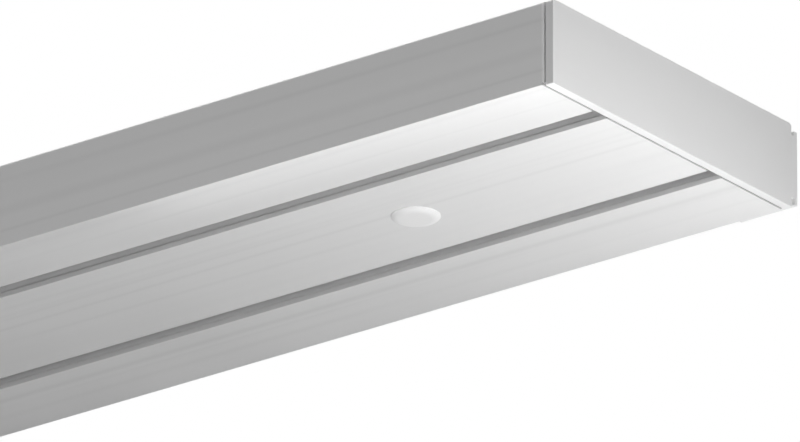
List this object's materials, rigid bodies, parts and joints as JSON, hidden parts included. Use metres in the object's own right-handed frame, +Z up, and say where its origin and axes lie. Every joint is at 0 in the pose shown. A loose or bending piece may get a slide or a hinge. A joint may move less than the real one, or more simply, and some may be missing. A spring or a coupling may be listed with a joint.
{
  "type": "double curtain track",
  "caption": "White plastic ceiling track with parallel curtain runs in a flat rectangular profile, closed by end caps, with wheeled eyelet rollers and clamp stops in the slots.",
  "frame": {"origin": "on the ceiling face, mid-length, on the line of the ceiling screws", "axes": "+X along the track to the end cap that the picture shows, +Z up into the ceiling, -Y to the front face"},
  "size_m": [1.0046, 0.0818, 0.0287],
  "materials": {
    "extruded_white": "satin extruded plastic with faint lengthwise die lines",
    "moulded_white": "smooth moulded plastic",
    "roller_white": "smooth low-friction moulded plastic",
    "steel": "zinc-plated steel"
  },
  "bodies": {
    "track": {"track_profile": "extruded_white", "right_end_cap": "moulded_white", "left_end_cap": "moulded_white", "screw_cover_1": "moulded_white", "screw_cover_2": "moulded_white", "screw_cover_3": "moulded_white", "screw_cover_4": "moulded_white"},
    "front_roller_1": {"front_roller_1_hanger": "roller_white"},
    "front_roller_1_wheels": {"front_roller_1_front_wheel": "roller_white", "front_roller_1_rear_wheel": "roller_white"},
    "front_roller_2": {"front_roller_2_hanger": "roller_white"},
    "front_roller_2_wheels": {"front_roller_2_front_wheel": "roller_white", "front_roller_2_rear_wheel": "roller_white"},
    "front_roller_3": {"front_roller_3_hanger": "roller_white"},
    "front_roller_3_wheels": {"front_roller_3_front_wheel": "roller_white", "front_roller_3_rear_wheel": "roller_white"},
    "front_roller_4": {"front_roller_4_hanger": "roller_white"},
    "front_roller_4_wheels": {"front_roller_4_front_wheel": "roller_white", "front_roller_4_rear_wheel": "roller_white"},
    "front_roller_5": {"front_roller_5_hanger": "roller_white"},
    "front_roller_5_wheels": {"front_roller_5_front_wheel": "roller_white", "front_roller_5_rear_wheel": "roller_white"},
    "front_roller_6": {"front_roller_6_hanger": "roller_white"},
    "front_roller_6_wheels": {"front_roller_6_front_wheel": "roller_white", "front_roller_6_rear_wheel": "roller_white"},
    "front_left_stop": {"front_left_stop_block": "moulded_white", "front_left_stop_nut": "moulded_white", "front_left_stop_screw": "steel"},
    "front_right_stop": {"front_right_stop_block": "moulded_white", "front_right_stop_nut": "moulded_white", "front_right_stop_screw": "steel"},
    "rear_roller_1": {"rear_roller_1_hanger": "roller_white"},
    "rear_roller_1_wheels": {"rear_roller_1_front_wheel": "roller_white", "rear_roller_1_rear_wheel": "roller_white"},
    "rear_roller_2": {"rear_roller_2_hanger": "roller_white"},
    "rear_roller_2_wheels": {"rear_roller_2_front_wheel": "roller_white", "rear_roller_2_rear_wheel": "roller_white"},
    "rear_roller_3": {"rear_roller_3_hanger": "roller_white"},
    "rear_roller_3_wheels": {"rear_roller_3_front_wheel": "roller_white", "rear_roller_3_rear_wheel": "roller_white"},
    "rear_roller_4": {"rear_roller_4_hanger": "roller_white"},
    "rear_roller_4_wheels": {"rear_roller_4_front_wheel": "roller_white", "rear_roller_4_rear_wheel": "roller_white"},
    "rear_roller_5": {"rear_roller_5_hanger": "roller_white"},
    "rear_roller_5_wheels": {"rear_roller_5_front_wheel": "roller_white", "rear_roller_5_rear_wheel": "roller_white"},
    "rear_roller_6": {"rear_roller_6_hanger": "roller_white"},
    "rear_roller_6_wheels": {"rear_roller_6_front_wheel": "roller_white", "rear_roller_6_rear_wheel": "roller_white"},
    "rear_left_stop": {"rear_left_stop_block": "moulded_white", "rear_left_stop_nut": "moulded_white", "rear_left_stop_screw": "steel"},
    "rear_right_stop": {"rear_right_stop_block": "moulded_white", "rear_right_stop_nut": "moulded_white", "rear_right_stop_screw": "steel"}
  },
  "joints": [
    {"name": "front_roller_1_slide", "type": "slide", "parent": "track", "child": "front_roller_1", "axis": [1, 0, 0], "range_m": [-0.0293, 0.1237]},
    {"name": "front_roller_1_spin", "type": "hinge", "parent": "front_roller_1", "child": "front_roller_1_wheels", "pos_m": [-0.43, -0.0192, -0.0112], "axis": [0, 1, 0], "continuous": true},
    {"name": "front_roller_2_slide", "type": "slide", "parent": "track", "child": "front_roller_2", "axis": [1, 0, 0], "range_m": [-0.1237, 0.1237]},
    {"name": "front_roller_2_spin", "type": "hinge", "parent": "front_roller_2", "child": "front_roller_2_wheels", "pos_m": [-0.296, -0.0192, -0.0112], "axis": [0, 1, 0], "continuous": true},
    {"name": "front_roller_3_slide", "type": "slide", "parent": "track", "child": "front_roller_3", "axis": [1, 0, 0], "range_m": [-0.1237, 0.1237]},
    {"name": "front_roller_3_spin", "type": "hinge", "parent": "front_roller_3", "child": "front_roller_3_wheels", "pos_m": [-0.162, -0.0192, -0.0112], "axis": [0, 1, 0], "continuous": true},
    {"name": "front_roller_4_slide", "type": "slide", "parent": "track", "child": "front_roller_4", "axis": [1, 0, 0], "range_m": [-0.1237, 0.1237]},
    {"name": "front_roller_4_spin", "type": "hinge", "parent": "front_roller_4", "child": "front_roller_4_wheels", "pos_m": [-0.028, -0.0192, -0.0112], "axis": [0, 1, 0], "continuous": true},
    {"name": "front_roller_5_slide", "type": "slide", "parent": "track", "child": "front_roller_5", "axis": [1, 0, 0], "range_m": [-0.1237, 0.1237]},
    {"name": "front_roller_5_spin", "type": "hinge", "parent": "front_roller_5", "child": "front_roller_5_wheels", "pos_m": [0.106, -0.0192, -0.0112], "axis": [0, 1, 0], "continuous": true},
    {"name": "front_roller_6_slide", "type": "slide", "parent": "track", "child": "front_roller_6", "axis": [1, 0, 0], "range_m": [-0.1237, 0.0293]},
    {"name": "front_roller_6_spin", "type": "hinge", "parent": "front_roller_6", "child": "front_roller_6_wheels", "pos_m": [0.24, -0.0192, -0.0112], "axis": [0, 1, 0], "continuous": true},
    {"name": "front_left_stop_slide", "type": "slide", "parent": "track", "child": "front_left_stop", "axis": [1, 0, 0], "range_m": [-0.0235, 0.0293]},
    {"name": "front_right_stop_slide", "type": "slide", "parent": "track", "child": "front_right_stop", "axis": [1, 0, 0], "range_m": [-0.0293, 0.2135]},
    {"name": "rear_roller_1_slide", "type": "slide", "parent": "track", "child": "rear_roller_1", "axis": [1, 0, 0], "range_m": [-0.0293, 0.1237]},
    {"name": "rear_roller_1_spin", "type": "hinge", "parent": "rear_roller_1", "child": "rear_roller_1_wheels", "pos_m": [-0.43, 0.0192, -0.0112], "axis": [0, 1, 0], "continuous": true},
    {"name": "rear_roller_2_slide", "type": "slide", "parent": "track", "child": "rear_roller_2", "axis": [1, 0, 0], "range_m": [-0.1237, 0.1237]},
    {"name": "rear_roller_2_spin", "type": "hinge", "parent": "rear_roller_2", "child": "rear_roller_2_wheels", "pos_m": [-0.296, 0.0192, -0.0112], "axis": [0, 1, 0], "continuous": true},
    {"name": "rear_roller_3_slide", "type": "slide", "parent": "track", "child": "rear_roller_3", "axis": [1, 0, 0], "range_m": [-0.1237, 0.1237]},
    {"name": "rear_roller_3_spin", "type": "hinge", "parent": "rear_roller_3", "child": "rear_roller_3_wheels", "pos_m": [-0.162, 0.0192, -0.0112], "axis": [0, 1, 0], "continuous": true},
    {"name": "rear_roller_4_slide", "type": "slide", "parent": "track", "child": "rear_roller_4", "axis": [1, 0, 0], "range_m": [-0.1237, 0.1237]},
    {"name": "rear_roller_4_spin", "type": "hinge", "parent": "rear_roller_4", "child": "rear_roller_4_wheels", "pos_m": [-0.028, 0.0192, -0.0112], "axis": [0, 1, 0], "continuous": true},
    {"name": "rear_roller_5_slide", "type": "slide", "parent": "track", "child": "rear_roller_5", "axis": [1, 0, 0], "range_m": [-0.1237, 0.1237]},
    {"name": "rear_roller_5_spin", "type": "hinge", "parent": "rear_roller_5", "child": "rear_roller_5_wheels", "pos_m": [0.106, 0.0192, -0.0112], "axis": [0, 1, 0], "continuous": true},
    {"name": "rear_roller_6_slide", "type": "slide", "parent": "track", "child": "rear_roller_6", "axis": [1, 0, 0], "range_m": [-0.1237, 0.0293]},
    {"name": "rear_roller_6_spin", "type": "hinge", "parent": "rear_roller_6", "child": "rear_roller_6_wheels", "pos_m": [0.24, 0.0192, -0.0112], "axis": [0, 1, 0], "continuous": true},
    {"name": "rear_left_stop_slide", "type": "slide", "parent": "track", "child": "rear_left_stop", "axis": [1, 0, 0], "range_m": [-0.0235, 0.0293]},
    {"name": "rear_right_stop_slide", "type": "slide", "parent": "track", "child": "rear_right_stop", "axis": [1, 0, 0], "range_m": [-0.0293, 0.2135]}
  ],
  "couplings": [
    {"joint": "front_roller_1_spin", "follows": "front_roller_1_slide", "rad_per_m": 200},
    {"joint": "front_roller_2_spin", "follows": "front_roller_2_slide", "rad_per_m": 200},
    {"joint": "front_roller_3_spin", "follows": "front_roller_3_slide", "rad_per_m": 200},
    {"joint": "front_roller_4_spin", "follows": "front_roller_4_slide", "rad_per_m": 200},
    {"joint": "front_roller_5_spin", "follows": "front_roller_5_slide", "rad_per_m": 200},
    {"joint": "front_roller_6_spin", "follows": "front_roller_6_slide", "rad_per_m": 200},
    {"joint": "rear_roller_1_spin", "follows": "rear_roller_1_slide", "rad_per_m": 200},
    {"joint": "rear_roller_2_spin", "follows": "rear_roller_2_slide", "rad_per_m": 200},
    {"joint": "rear_roller_3_spin", "follows": "rear_roller_3_slide", "rad_per_m": 200},
    {"joint": "rear_roller_4_spin", "follows": "rear_roller_4_slide", "rad_per_m": 200},
    {"joint": "rear_roller_5_spin", "follows": "rear_roller_5_slide", "rad_per_m": 200},
    {"joint": "rear_roller_6_spin", "follows": "rear_roller_6_slide", "rad_per_m": 200}
  ]
}
